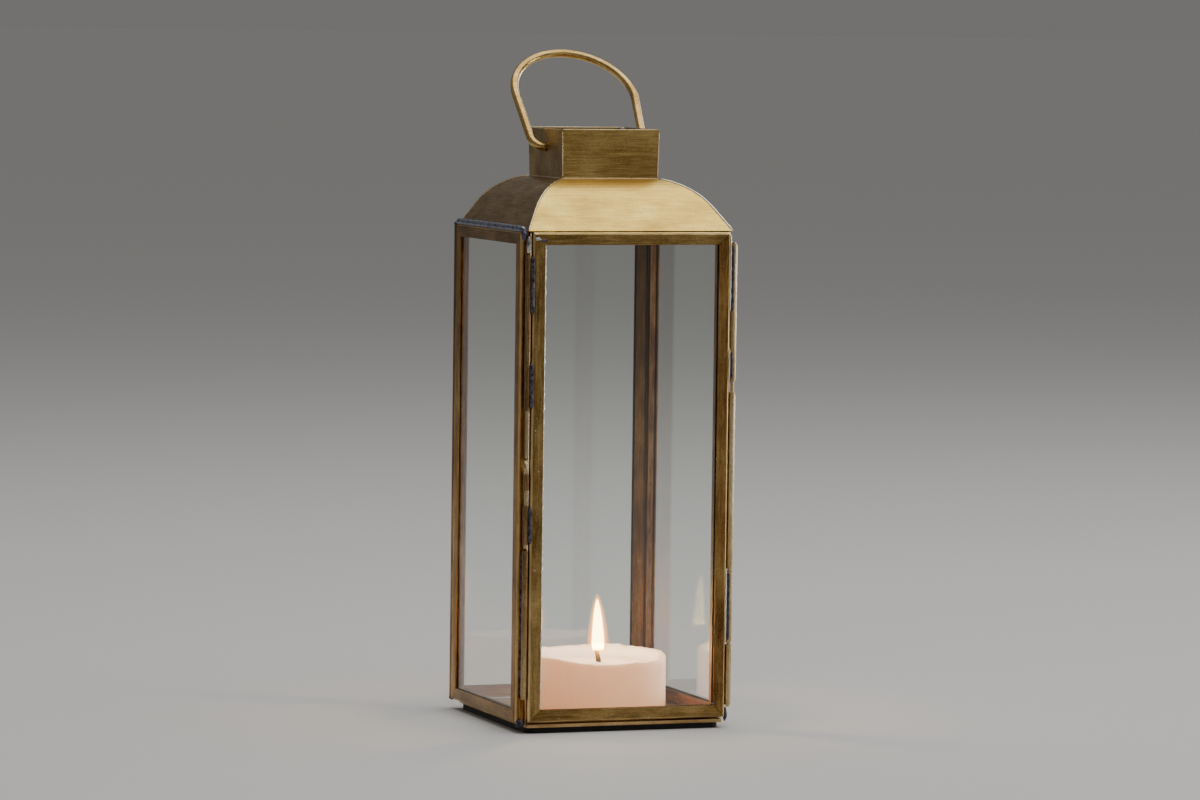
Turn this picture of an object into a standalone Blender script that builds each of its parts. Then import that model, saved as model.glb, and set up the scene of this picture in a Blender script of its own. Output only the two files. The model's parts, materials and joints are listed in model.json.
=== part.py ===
"""Hurricane candle lantern: a square brass and glass case with a hinged door, a curved hipped
roof, an open chimney, a wire bail and a pillar candle.

All dimensions below are in millimetres and are turned into metres when a mesh is made.
X runs from the latch side to the hinge side, the door faces -Y and +Z is up.
The case stands on z = 0.
"""
from math import acos, cos, pi, radians, sin, tan

import bpy
from mathutils import Matrix, Vector

MM = 0.001
GAP = 0.3                      # left between pieces that touch

# base
PAD_LOW = (-54.5, -57.0)
PAD_HIGH = (56.5, 54.5)
PAD_CORNER = 5.0
PAD_HEIGHT = 3.0
PLATE_LOW = (-55.0, -59.6)
PLATE_HIGH = (57.0, 56.0)
PLATE_CORNER = 1.0
PLATE_TOP = 5.0

# glazed case
CASE_HALF = 60.0
CASE_FRONT = -54.5
CASE_BOTTOM = PLATE_TOP + GAP
CASE_TOP = 269.3
SHEET = 0.7                    # thickness of the folded brass
FOLD_RADIUS = 1.9
FOLD_STEPS = 5
CHANNEL_FACE = 7.0
SIDE_DEPTH = 6.6
BACK_DEPTH = 5.0
GLASS = 2.0
SIDE_GLASS_SHIFT = 1.3         # the side panes lie against the outer leg of their channels
GLASS_EDGE_CLEARANCE = 0.4
STRIP_DEPTH = 4.0              # of the header and sill the door closes against

# door
DOOR_LEFT = -54.5
DOOR_RIGHT = 58.7
DOOR_BOTTOM = 5.6
DOOR_TOP = 269.1
DOOR_FRONT = -59.6
DOOR_DEPTH = 4.6
DOOR_FACE = 7.0

# rolled tubes and wires of the hinge and the latch
TUBE_OUTER = 1.65
TUBE_INNER = 1.3
WIRE_RADIUS = 1.0
TUBE_SIDES = 28
WIRE_SIDES = 16
FITTING_Y = DOOR_FRONT + TUBE_OUTER
HINGE_X = DOOR_RIGHT + GAP + TUBE_OUTER
LATCH_X = DOOR_LEFT - GAP - TUBE_OUTER
RIB_END = CASE_FRONT - 0.25
HINGE_RIB = (-1.6, 0.2)        # x offsets of the web that carries a frame tube off the case
KEEPER_RIB = (-0.9, 0.9)
HINGE_TUBES = {
    "hinge_tube_door_upper": (188.1, 262.5),
    "hinge_tube_frame_upper": (86.5, 182.1),
    "hinge_tube_door_lower": (46.6, 85.6),
    "hinge_tube_frame_lower": (12.4, 45.2),
}
HINGE_PIN_SPAN = (11.4, 263.4)
LATCH_TUBES = {
    "latch_tube_upper": (173.6, 256.9),
    "latch_tube_lower": (101.8, 122.7),
}
KEEPER_SPAN = (18.5, 98.6)
COLLAR_SPAN = (131.0, 139.7)
BOLT_TIP = 99.7
BOLT_TOP = 188.0
LOOP_LOWER = 141.4
LOOP_UPPER = 147.5
LOOP_REACH = 16.0
LOOP_CORNER = 1.5
LOOP_AZIMUTH = 20.0            # degrees left of straight out

# roof
ROOF_SHEET = 0.8
ROOF_BASE = CASE_TOP + GAP
ROOF_RISE = 26.9
ROOF_TOP_SLOPE = 9.0
ROOF_STEPS = 16
ROOF_SIDES = {                 # eave half-width and slope at the eave, going round from the door
    "roof_front": (58.6, 55.0),
    "roof_right": (59.7, 55.0),
    "roof_back": (56.8, 60.0),
    "roof_left": (56.8, 60.0),
}
HIP_GAP = 0.25                 # kept free on each side of a hip
COLLAR_HALF = 27.2             # chimney, outside, at its foot
CHIMNEY_FLARE = 0.7
CHIMNEY_FOOT = 294.2
CHIMNEY_TOP = 323.0
CHIMNEY_SHEET = 0.8

# bail handle
PIVOT_Z = 312.9
HANDLE_RADIUS = 2.25
HANDLE_HOLE = HANDLE_RADIUS + 0.35
HANDLE_HALF = 34.5
HANDLE_FOOT_BEND = 7.2
HANDLE_HEIGHT = 75.2
HANDLE_END = 22.0
HANDLE_LEAN = 48.0             # degrees, toward the back
HANDLE_TAPER = 5.0             # the hinge-side leg is pinched in near its foot

# candle
CANDLE_CENTRE = (8.0, 5.0)
CANDLE_RADIUS = 37.3
CANDLE_RIM = 34.6
CANDLE_POOL = 29.4
CANDLE_SIDES = 72
WICK_RADIUS = 0.9
WICK_HOLE = 1.3
WICK_FOOT = 18.0
WICK_TOP = 36.2


def clear_scene():
    """Remove every object from the scene."""
    for obj in list(bpy.data.objects):
        bpy.data.objects.remove(obj, do_unlink=True)


def material(name, colour, roughness, metallic, alpha=1.0):
    """One Principled material."""
    mat = bpy.data.materials.new(name)
    mat.use_nodes = True
    shader = mat.node_tree.nodes["Principled BSDF"]
    shader.inputs["Base Color"].default_value = (*colour, 1.0)
    shader.inputs["Roughness"].default_value = roughness
    shader.inputs["Metallic"].default_value = metallic
    shader.inputs["Alpha"].default_value = alpha
    return mat


def add_part(name, vertices, faces, mat, origin=(0, 0, 0), smooth=False, parent=None):
    """Make one named solid from millimetre vertices, with its own origin."""
    shift = Vector(origin)
    mesh = bpy.data.meshes.new(name)
    points = [(Vector(vertex) - shift) * MM for vertex in vertices]
    mesh.from_pydata(points, [], faces)
    mesh.validate()
    mesh.update()
    mesh.materials.append(mat)
    mesh.polygons.foreach_set("use_smooth", [smooth] * len(mesh.polygons))
    if smooth:
        mesh.set_sharp_from_angle(angle=radians(35))
    obj = bpy.data.objects.new(name, mesh)
    obj.location = shift * MM
    bpy.context.scene.collection.objects.link(obj)
    if parent is not None:
        obj.parent = parent
        obj.location = (shift * MM) - parent.location
    return obj


def add_axis(name, origin):
    """An empty that sits on a joint axis and carries the pieces that turn on it."""
    empty = bpy.data.objects.new(name, None)
    empty.location = Vector(origin) * MM
    bpy.context.scene.collection.objects.link(empty)
    return empty


def arc(centre, radius, start, end, steps):
    """Points on a plane arc, angles in degrees, both ends included."""
    points = []
    for step in range(steps + 1):
        angle = radians(start + (end - start) * step / steps)
        points.append((centre[0] + radius * cos(angle), centre[1] + radius * sin(angle)))
    return points


def stack_faces(rows, ring):
    """Faces of a closed stack of rings, with its two end caps. Rings run anticlockwise
    when seen from the far end."""
    faces = [tuple(reversed(range(ring)))]
    for row in range(rows - 1):
        for k in range(ring):
            a = row * ring + k
            b = row * ring + (k + 1) % ring
            faces.append((a, b, b + ring, a + ring))
    faces.append(tuple((rows - 1) * ring + k for k in range(ring)))
    return faces


def loop_faces(rows, ring):
    """Faces of a hollow body whose last ring joins back to its first."""
    faces = []
    for row in range(rows):
        after = (row + 1) % rows
        for k in range(ring):
            b = (k + 1) % ring
            faces.append((row * ring + k, row * ring + b, after * ring + b, after * ring + k))
    return faces


def slab(outline, low, high):
    """Vertices and faces of a flat slab with the given anticlockwise outline."""
    vertices = [(x, y, low) for x, y in outline] + [(x, y, high) for x, y in outline]
    return vertices, stack_faces(2, len(outline))


def rounded_rectangle(low, high, corner, steps):
    """Anticlockwise outline of a rectangle with round corners."""
    left, front = low[0] + corner, low[1] + corner
    right, back = high[0] - corner, high[1] - corner
    outline = []
    for turn, centre in enumerate(((right, back), (left, back), (left, front), (right, front))):
        outline += arc(centre, corner, 90 * turn, 90 * turn + 90, steps)
    return outline


def channel_profile(face, depth):
    """U-channel section as (distance in from the edge, distance through the panel)."""
    half = depth / 2
    outer = arc((FOLD_RADIUS, half - FOLD_RADIUS), FOLD_RADIUS, 90, 180, FOLD_STEPS)
    outer += arc((FOLD_RADIUS, FOLD_RADIUS - half), FOLD_RADIUS, 180, 270, FOLD_STEPS)
    lower = [(face, -half), (face, SHEET - half), (SHEET, SHEET - half)]
    upper = [(SHEET, half - SHEET), (face, half - SHEET), (face, half)]
    return outer + lower + upper


def channel(centre, along, inward, length, face, depth):
    """Mitred U-channel. centre is the middle of its outer edge, along runs its length and
    inward points into the pane."""
    along = Vector(along)
    inward = Vector(inward)
    through = along.cross(inward)
    vertices = []
    for side in (-1, 1):
        for edge, across in channel_profile(face, depth):
            reach = side * (length / 2 - edge - GAP / 2)
            vertices.append(Vector(centre) + along * reach + inward * edge + through * across)
    return vertices, stack_faces(2, len(vertices) // 2)


def glazed_panel(names, across, corner, size, face, depth, brass, glass, parent=None, shift=0.0):
    """Four mitred channels and their pane. across is the panel's width direction, corner its
    lower corner on the panel's middle plane and size its width and height. shift moves the pane
    off the middle plane, along across x up."""
    across = Vector(across)
    up = Vector((0, 0, 1))
    width, height = size
    corner = Vector(corner)
    middle = corner + across * width / 2 + up * height / 2
    edges = (
        (names[0], middle - across * width / 2, up, across, height),
        (names[1], middle + across * width / 2, up, -across, height),
        (names[2], middle + up * height / 2, across, -up, width),
        (names[3], middle - up * height / 2, across, up, width),
    )
    for name, centre, along, inward, length in edges:
        vertices, faces = channel(centre, along, inward, length, face, depth)
        add_part(name, vertices, faces, brass, parent=parent)
    add_pane(names[4], middle + across.cross(up) * shift, across, size, glass, parent)


def add_pane(name, middle, across, size, glass, parent):
    """The glass held by four channels."""
    up = Vector((0, 0, 1))
    normal = across.cross(up)
    edge = SHEET + GLASS_EDGE_CLEARANCE
    half_width = size[0] / 2 - edge
    half_height = size[1] / 2 - edge
    corners = ((-1, -1), (1, -1), (1, 1), (-1, 1))
    vertices = []
    for side in (-GLASS / 2, GLASS / 2):
        for x, z in corners:
            vertices.append(middle + across * x * half_width + up * z * half_height + normal * side)
    add_part(name, vertices, stack_faces(2, 4)[::-1], glass, parent=parent)


def add_base(brass, felt):
    """Pad and floor plate."""
    outline = rounded_rectangle(PAD_LOW, PAD_HIGH, PAD_CORNER, 8)
    add_part("base_pad", *slab(outline, 0.0, PAD_HEIGHT), felt)
    outline = rounded_rectangle(PLATE_LOW, PLATE_HIGH, PLATE_CORNER, 4)
    add_part("base_plate", *slab(outline, PAD_HEIGHT + GAP, PLATE_TOP), brass)


def add_case(brass, glass):
    """The left, right and back glazed panels, each closing one end of the next."""
    height = CASE_TOP - CASE_BOTTOM
    ends = (("left", -1, CASE_HALF - BACK_DEPTH - GAP), ("right", 1, CASE_HALF))
    for name, side, back_end in ends:
        names = [f"{name}_{piece}" for piece in
                 ("post_front", "post_back", "rail_top", "rail_bottom", "pane")]
        plane = side * (CASE_HALF - SIDE_DEPTH / 2)
        glazed_panel(names, (0, 1, 0), (plane, CASE_FRONT, CASE_BOTTOM),
                     (back_end - CASE_FRONT, height), CHANNEL_FACE, SIDE_DEPTH, brass, glass,
                     shift=side * SIDE_GLASS_SHIFT)
    names = ["back_post_left", "back_post_right", "back_rail_top", "back_rail_bottom", "back_pane"]
    glazed_panel(names, (1, 0, 0), (-CASE_HALF, CASE_HALF - BACK_DEPTH / 2, CASE_BOTTOM),
                 (2 * CASE_HALF - SIDE_DEPTH - GAP, height), CHANNEL_FACE, BACK_DEPTH, brass, glass)


def add_door_stops(brass):
    """The folded header and sill behind the door's top and bottom rails."""
    half = CASE_HALF - SIDE_DEPTH - GAP
    front = CASE_FRONT
    back = CASE_FRONT + STRIP_DEPTH
    for name, level, up in (("front_header", CASE_TOP, -1), ("front_sill", CASE_BOTTOM, 1)):
        section = [(front, 0), (back, 0), (back, SHEET), (front + SHEET, SHEET),
                   (front + SHEET, CHANNEL_FACE), (front, CHANNEL_FACE)]
        if up < 0:
            section.reverse()
        vertices = [(x, y, level + up * z) for x in (-half, half) for y, z in section]
        add_part(name, vertices, stack_faces(2, len(section)), brass)


def ring(centre, radius, level, sides):
    """Anticlockwise ring of points round a vertical axis."""
    return [(centre[0] + radius * cos(2 * pi * k / sides),
             centre[1] + radius * sin(2 * pi * k / sides), level) for k in range(sides)]


def tube(centre, low, high):
    """A plain tube on a vertical axis."""
    rings = [ring(centre, TUBE_OUTER, low, TUBE_SIDES), ring(centre, TUBE_OUTER, high, TUBE_SIDES),
             ring(centre, TUBE_INNER, high, TUBE_SIDES), ring(centre, TUBE_INNER, low, TUBE_SIDES)]
    return [point for points in rings for point in points], loop_faces(4, TUBE_SIDES)


def ribbed_tube(centre, low, high, rib):
    """A tube with a web on its +Y side. rib holds the web's two x offsets from the axis."""
    start = acos(rib[0] / TUBE_OUTER)
    sweep = 2 * pi + acos(rib[1] / TUBE_OUTER) - start
    angles = [start + sweep * k / TUBE_SIDES for k in range(TUBE_SIDES + 1)]
    outline = [(centre[0] + TUBE_OUTER * cos(a), centre[1] + TUBE_OUTER * sin(a)) for a in angles]
    outline += [(centre[0] + rib[1], RIB_END), (centre[0] + rib[0], RIB_END)]
    web_turn = 2 * pi - sweep
    angles += [angles[-1] + web_turn / 3, angles[-1] + web_turn * 2 / 3]
    hole = [(centre[0] + TUBE_INNER * cos(a), centre[1] + TUBE_INNER * sin(a)) for a in angles]
    vertices = []
    for points, level in ((outline, low), (outline, high), (hole, high), (hole, low)):
        vertices += [(x, y, level) for x, y in points]
    return vertices, loop_faces(4, len(outline))


def wire(path, radius, sides, side_axis):
    """A round wire swept along a plane path; side_axis is the normal of that plane."""
    side_axis = Vector(side_axis).normalized()
    points = [Vector(point) for point in path]
    vertices = []
    for k, point in enumerate(points):
        before = points[max(k - 1, 0)]
        after = points[min(k + 1, len(points) - 1)]
        direction = (after - before).normalized()
        across = side_axis.cross(direction).normalized()
        stretch = 1.0
        if 0 < k < len(points) - 1:
            half_turn = acos(max(-1.0, min(1.0, (after - point).normalized().dot(
                (point - before).normalized())))) / 2
            stretch = 1.0 / cos(half_turn)
        for j in range(sides):
            angle = 2 * pi * j / sides
            vertices.append(point + across * cos(angle) * radius * stretch
                            + side_axis * sin(angle) * radius)
    return vertices, stack_faces(len(points), sides)


def add_hinge(door_axis, brass):
    """Two tubes on the door, two on the case and the wire pin through them."""
    centre = (HINGE_X, FITTING_Y)
    for name, (low, high) in HINGE_TUBES.items():
        if "door" in name:
            shape = tube(centre, low, high)
            parent = door_axis
        else:
            shape = ribbed_tube(centre, low, high, HINGE_RIB)
            parent = None
        add_part(name, *shape, brass, smooth=True, parent=parent)
    low, high = HINGE_PIN_SPAN
    path = [(*centre, low), (*centre, high)]
    add_part("hinge_pin", *wire(path, WIRE_RADIUS, WIRE_SIDES, (0, 1, 0)), brass, smooth=True)


def add_latch(door_axis, brass):
    """Guide tubes on the door, the keeper on the case and the drop bolt with its collar."""
    centre = (LATCH_X, FITTING_Y)
    for name, (low, high) in LATCH_TUBES.items():
        add_part(name, *tube(centre, low, high), brass, smooth=True, parent=door_axis)
    shape = ribbed_tube(centre, *KEEPER_SPAN, KEEPER_RIB)
    add_part("latch_keeper", *shape, brass, smooth=True)
    shape = tube(centre, *COLLAR_SPAN)
    add_part("bolt_collar", *shape, brass, origin=(*centre, COLLAR_SPAN[0]), smooth=True)
    add_part("latch_bolt", *bolt_wire(centre), brass, origin=(*centre, BOLT_TIP), smooth=True)


def bolt_wire(centre):
    """The drop bolt: a straight wire with a hairpin finger loop bent out of its middle."""
    corner = LOOP_CORNER
    mid = (LOOP_LOWER + LOOP_UPPER) / 2
    turn = (LOOP_UPPER - LOOP_LOWER) / 2
    profile = [(0.0, BOLT_TIP)]
    profile += arc((corner, LOOP_LOWER - corner), corner, 180, 90, 5)
    profile += arc((LOOP_REACH - turn, mid), turn, -90, 90, 12)
    profile += arc((corner, LOOP_UPPER + corner), corner, 270, 180, 5)
    profile.append((0.0, BOLT_TOP))
    azimuth = radians(LOOP_AZIMUTH)
    out = Vector((-sin(azimuth), -cos(azimuth), 0))
    side = out.cross(Vector((0, 0, 1)))
    foot = Vector((*centre, 0))
    path = [foot + out * reach + Vector((0, 0, z)) for reach, z in profile]
    return wire(path, WIRE_RADIUS, WIRE_SIDES, side)


def roof_point(eave, eave_slope, rise):
    """Half-width and slope angle of a roof side's outer face at a rise above the eave. The
    side runs straight from the eave to a knee, then bends on an arc down to the top slope."""
    slope = radians(eave_slope)
    top = radians(ROOF_TOP_SLOPE)
    collar = COLLAR_HALF + GAP
    arc_rise = (cos(top) - cos(slope)) / (sin(slope) - sin(top))
    knee = (ROOF_RISE - eave * tan(slope) + collar * arc_rise) / (arc_rise - tan(slope))
    radius = (knee - collar) / (sin(slope) - sin(top))
    straight = (eave - knee) * tan(slope)
    if rise <= straight:
        return eave - rise / tan(slope), slope
    angle = acos(cos(slope) + (rise - straight) / radius)
    return knee - radius * (sin(slope) - sin(angle)), angle


def roof_edges(side, rise):
    """Outer and inner (half-width, height) of a roof side at a rise above the eave."""
    half, angle = roof_point(*side, rise)
    outer = (half, ROOF_BASE + rise)
    if rise == 0:
        return outer, (half - ROOF_SHEET / sin(angle), ROOF_BASE)
    inner_half = max(COLLAR_HALF + GAP, half - ROOF_SHEET * sin(angle))
    return outer, (inner_half, ROOF_BASE + rise - ROOF_SHEET * cos(angle))


def roof_panel(turn):
    """One curved roof panel, mitred on its hips. turn counts quarter turns from the front."""
    sides = list(ROOF_SIDES.values())
    quarter = Matrix.Rotation(turn * pi / 2, 3, "Z")
    vertices = []
    for step in range(ROOF_STEPS + 1):
        rise = ROOF_RISE * sin(pi / 2 * step / ROOF_STEPS)
        left = roof_edges(sides[turn - 1], rise)
        here = roof_edges(sides[turn], rise)
        right = roof_edges(sides[(turn + 1) % 4], rise)
        for face, order in ((0, (-1, 1)), (1, (1, -1))):
            half, height = here[face]
            for side in order:
                reach = (left if side < 0 else right)[face][0] - HIP_GAP
                vertices.append(quarter @ Vector((side * reach, -half, height)))
    return vertices, stack_faces(ROOF_STEPS + 1, 4)


def add_roof(brass):
    """Four curved panels round the chimney."""
    for turn, name in enumerate(ROOF_SIDES):
        add_part(name, *roof_panel(turn), brass, smooth=True)


def square_ring(half, level):
    """Anticlockwise square of four points."""
    return [(half, half, level), (-half, half, level), (-half, -half, level), (half, -half, level)]


def add_chimney(brass):
    """Flared square collar with a hole for the bail in its left and right walls."""
    foot = COLLAR_HALF
    top = COLLAR_HALF + CHIMNEY_FLARE
    rings = [square_ring(foot, CHIMNEY_FOOT), square_ring(top, CHIMNEY_TOP),
             square_ring(top - CHIMNEY_SHEET, CHIMNEY_TOP),
             square_ring(foot - CHIMNEY_SHEET, CHIMNEY_FOOT)]
    vertices = [point for points in rings for point in points]
    chimney = add_part("chimney", vertices, loop_faces(4, 4), brass)
    path = [(-2 * foot, 0, PIVOT_Z), (2 * foot, 0, PIVOT_Z)]
    drill = add_part("chimney_drill", *wire(path, HANDLE_HOLE, 24, (0, 1, 0)), brass)
    drill.hide_render = True
    drill.display_type = "WIRE"
    cut = chimney.modifiers.new("handle_holes", "BOOLEAN")
    cut.operation = "DIFFERENCE"
    cut.solver = "EXACT"
    cut.object = drill


def handle_side(taper):
    """Half of the bail's centre line, from its end to its top, as (across, up)."""
    bend = HANDLE_FOOT_BEND
    shoulder = HANDLE_HEIGHT - HANDLE_HALF
    half = [(HANDLE_END, 0.0)]
    half += arc((HANDLE_HALF - bend, bend), bend, -90, 0, 7)
    half += arc((0.0, shoulder), HANDLE_HALF, 0, 90, 18)
    return [(across - taper * min(1.0, up / bend) * max(0.0, 1.0 - up / shoulder), up)
            for across, up in half]


def handle_path():
    """Centre line of the bail in its own plane, as (across, up) from the pivot axis."""
    plain = handle_side(0.0)
    return handle_side(HANDLE_TAPER) + [(-across, up) for across, up in reversed(plain[:-1])]


def add_handle(brass):
    """The bail, leaning back on its two bent-in ends."""
    lean = radians(HANDLE_LEAN)
    up_axis = Vector((0, sin(lean), cos(lean)))
    pivot = Vector((0, 0, PIVOT_Z))
    path = [pivot + Vector((across, 0, 0)) + up_axis * up for across, up in handle_path()]
    normal = Vector((1, 0, 0)).cross(up_axis)
    add_part("handle", *wire(path, HANDLE_RADIUS, 14, normal), brass, origin=pivot, smooth=True)


def candle_rows():
    """Candle outline from the foot to the wick hole, as (radius share, height, wobble)."""
    side = [(0.975, CASE_BOTTOM, 0.0), (1.0, CASE_BOTTOM + 1.4, 0.0), (1.0, 20.0, 0.2)]
    rim = [(0.99, CANDLE_RIM - 3.2, 0.8), (0.965, CANDLE_RIM - 0.8, 1.0), (0.93, CANDLE_RIM, 1.0),
           (0.89, CANDLE_RIM - 0.7, 0.9), (0.84, CANDLE_RIM - 2.6, 0.6), (0.76, CANDLE_POOL + 0.6, 0.2)]
    pool = [(0.66, CANDLE_POOL, 0.0), (0.3, CANDLE_POOL, 0.0), (0.1, CANDLE_POOL + 0.2, 0.0)]
    return side + rim + pool


def candle_wobble(angle):
    """Uneven melting of the rim: lower toward the front, with a few soft waves."""
    return 1.4 * sin(angle) + 0.4 * sin(2 * angle + 0.8) + 0.35 * sin(5 * angle + 2.1)


def add_candle(wax_mat, wick_mat):
    """Pillar candle with a melted pool and a blind hole that holds the wick."""
    cx, cy = CANDLE_CENTRE
    vertices = []
    for share, height, wobble in candle_rows():
        for k in range(CANDLE_SIDES):
            angle = 2 * pi * k / CANDLE_SIDES
            wave = wobble * candle_wobble(angle)
            radius = CANDLE_RADIUS * share + 0.25 * wobble * sin(3 * angle + 0.5)
            vertices.append((cx + radius * cos(angle), cy + radius * sin(angle), height + wave))
    for level in (CANDLE_POOL + 0.3, WICK_FOOT - GAP):
        vertices += ring((cx, cy), WICK_HOLE, level, CANDLE_SIDES)
    rows = len(vertices) // CANDLE_SIDES
    add_part("candle_wax", vertices, stack_faces(rows, CANDLE_SIDES), wax_mat, smooth=True)
    path = [(cx, cy, WICK_FOOT), (cx, cy, CANDLE_POOL + 1.5), (cx + 0.25, cy, CANDLE_POOL + 3.5),
            (cx + 0.8, cy, WICK_TOP - 1.2), (cx + 1.5, cy, WICK_TOP)]
    add_part("candle_wick", *wire(path, WICK_RADIUS, 12, (0, 1, 0)), wick_mat, smooth=True)


def add_door(door_axis, brass, glass):
    """The glazed door, carried by the hinge axis."""
    names = ["door_stile_latch", "door_stile_hinge", "door_rail_top", "door_rail_bottom",
             "door_pane"]
    glazed_panel(names, (1, 0, 0), (DOOR_LEFT, DOOR_FRONT + DOOR_DEPTH / 2, DOOR_BOTTOM),
                 (DOOR_RIGHT - DOOR_LEFT, DOOR_TOP - DOOR_BOTTOM), DOOR_FACE, DOOR_DEPTH,
                 brass, glass, parent=door_axis)


def build():
    """Build the whole lantern."""
    clear_scene()
    brass = material("antique_brass", (0.42, 0.29, 0.12), 0.38, 1.0)
    dark_brass = material("dark_brass", (0.24, 0.15, 0.07), 0.42, 1.0)
    glass = material("clear_glass", (0.9, 0.93, 0.91), 0.04, 0.0, 0.25)
    felt = material("black_felt", (0.02, 0.02, 0.02), 0.9, 0.0)
    wax = material("candle_wax", (0.93, 0.84, 0.78), 0.45, 0.0)
    wick = material("burnt_wick", (0.05, 0.04, 0.035), 0.95, 0.0)
    door_axis = add_axis("door_axis", (HINGE_X, FITTING_Y, 0))
    add_base(brass, felt)
    add_case(dark_brass, glass)
    add_door_stops(dark_brass)
    add_door(door_axis, brass, glass)
    add_hinge(door_axis, brass)
    add_latch(door_axis, dark_brass)
    add_roof(brass)
    add_chimney(brass)
    add_handle(dark_brass)
    add_candle(wax, wick)


build()
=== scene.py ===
"""Looks of the hurricane candle lantern: aged brass, solder, clear glass, wax and a lit flame.

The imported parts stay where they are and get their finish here. The candle, the wick and the
bail are rebuilt as finer meshes, and the solder and the flame are added. Meshes are written in
millimetres and turned into metres when they are made; materials and lights are in metres.
"""
import json
from math import acos, ceil, cos, pi, radians, sin, sqrt, tan

import bpy
from mathutils import Matrix, Vector, noise

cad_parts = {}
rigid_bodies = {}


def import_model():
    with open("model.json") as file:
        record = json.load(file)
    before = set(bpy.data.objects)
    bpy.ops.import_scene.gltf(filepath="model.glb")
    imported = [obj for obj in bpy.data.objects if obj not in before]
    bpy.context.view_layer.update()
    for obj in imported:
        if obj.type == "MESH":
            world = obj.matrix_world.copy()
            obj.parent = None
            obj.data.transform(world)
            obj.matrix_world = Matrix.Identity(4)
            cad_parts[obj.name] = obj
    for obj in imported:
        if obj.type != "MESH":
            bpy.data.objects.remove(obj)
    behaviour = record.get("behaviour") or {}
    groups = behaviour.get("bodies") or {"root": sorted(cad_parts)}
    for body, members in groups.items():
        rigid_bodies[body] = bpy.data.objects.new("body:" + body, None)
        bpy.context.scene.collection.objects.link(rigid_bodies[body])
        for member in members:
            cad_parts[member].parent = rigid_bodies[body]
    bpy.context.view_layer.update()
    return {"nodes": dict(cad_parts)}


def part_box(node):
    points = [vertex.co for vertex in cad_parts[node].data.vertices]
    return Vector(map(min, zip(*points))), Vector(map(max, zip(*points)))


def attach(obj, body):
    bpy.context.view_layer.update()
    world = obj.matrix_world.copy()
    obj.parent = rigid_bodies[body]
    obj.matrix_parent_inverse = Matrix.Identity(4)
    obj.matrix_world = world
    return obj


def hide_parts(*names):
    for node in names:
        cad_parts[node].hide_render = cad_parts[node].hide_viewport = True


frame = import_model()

MM = 0.001

# camera: place in metres, lens in millimetres, angles in degrees
CAMERA_PLACE = (-1.028, -2.887, 0.388)
CAMERA_LENS = 168.6
CAMERA_AZIMUTH = 19.7
CAMERA_PITCH = 3.98
CAMERA_ROLL = 0.75

# candle and flame, in millimetres
CANDLE_RADIUS = 37.3
CANDLE_FOOT = 5.3
CANDLE_RIM = 34.6
CANDLE_POOL = 29.4
CANDLE_SIDES = 144
RIM_TILT = 1.4
WICK_RADIUS = 1.5
WICK_STEPS = 16
FLAME_BASE = 31.0
FLAME_HEIGHT = 33.6
FLAME_RADIUS = 3.7
FLAME_POWER = 80.0
HALO_SHELLS = ((0.6, 0.42), (1.5, 0.26), (2.8, 0.16))   # extra radius and opacity
LAMP_HEIGHT = 17.0             # of the flame's own lamp over the flame's foot
# painted glow: the wax itself emits light between these heights, standing in for the flame's light
# inside it
WAX_PAINTED_GLOW = (4.0, 34.0)         # heights between which the wax grows brighter

# bail, in millimetres
PIVOT_Z = 312.9
HANDLE_RADIUS = 2.25
HANDLE_HALF = 34.5
HANDLE_FOOT_BEND = 7.2
HANDLE_HEIGHT = 75.2
HANDLE_END = 22.0
HANDLE_LEAN = 48.0
HANDLE_TAPER = 5.0

# roof and case seams, in millimetres
ROOF_BASE = 269.6
ROOF_RISE = 26.9
ROOF_TOP_SLOPE = 9.0
ROOF_SIDES = ((58.6, 55.0), (59.7, 55.0), (56.8, 60.0), (56.8, 60.0))   # eave half-width, slope
COLLAR_HALF = 27.5
CASE_HALF = 60.0
SIDE_DEPTH = 6.6
CHANNEL_FACE = 7.0             # width of a folded channel, seen from outside
PANE_INSET = 1.1               # from a channel's outer edge to the pane in it
TUBE_RADIUS = 1.65             # of the hinge tubes
BEAD_STEP = 0.8
BEAD_SIDES = 12
SQUARE = ((1, -1), (1, 1), (-1, 1), (-1, -1))   # signs of a square's corners, going round
CHIMNEY_EDGE = 0.35            # how far the sheet edges are rounded
SHEET_EDGE = 0.14

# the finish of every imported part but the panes: the first row that its name starts with
FINISH_ROWS = (
    ("base_pad", "felt"),
    ("base_plate", "floor"),
    # the roof gets a lit copy and a shaded copy of one brass: painted light
    ("roof_front", "roof_lit_across"),
    ("roof_back", "roof_lit_across"),
    ("roof", "roof_shaded_deep"),
    ("chimney", "collar"),
    ("latch_bolt", "bolt"),
    ("latch", "fitting"),
    ("bolt", "fitting"),
    ("hinge", "hinge"),
    ("door_stile_hinge", "door_hinge"),
    ("door_stile", "door_upright"),
    ("door", "door_across"),
    ("back_post", "back_upright"),
    ("left_post", "upright"),
    ("right_post", "upright"),
    ("left_rail", "deep"),
    ("right_rail", "deep"),
    ("", "across"),
)


# ---------------------------------------------------------------- meshes

def make_piece(name, vertices, faces, mat, body, slot=None, smooth=True):
    """One visual piece from millimetre vertices, riding on a body."""
    mesh = bpy.data.meshes.new(name)
    mesh.from_pydata([Vector(vertex) * MM for vertex in vertices], [], faces)
    mesh.update()
    mesh.materials.append(mat)
    mesh.polygons.foreach_set("use_smooth", [smooth] * len(mesh.polygons))
    obj = bpy.data.objects.new(name, mesh)
    bpy.context.scene.collection.objects.link(obj)
    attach(obj, body)
    return obj


def stack_faces(rows, ring):
    """Faces of a closed stack of rings with its two end caps."""
    faces = [tuple(reversed(range(ring)))]
    for row in range(rows - 1):
        for k in range(ring):
            a = row * ring + k
            b = row * ring + (k + 1) % ring
            faces.append((a, b, b + ring, a + ring))
    faces.append(tuple((rows - 1) * ring + k for k in range(ring)))
    return faces


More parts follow.
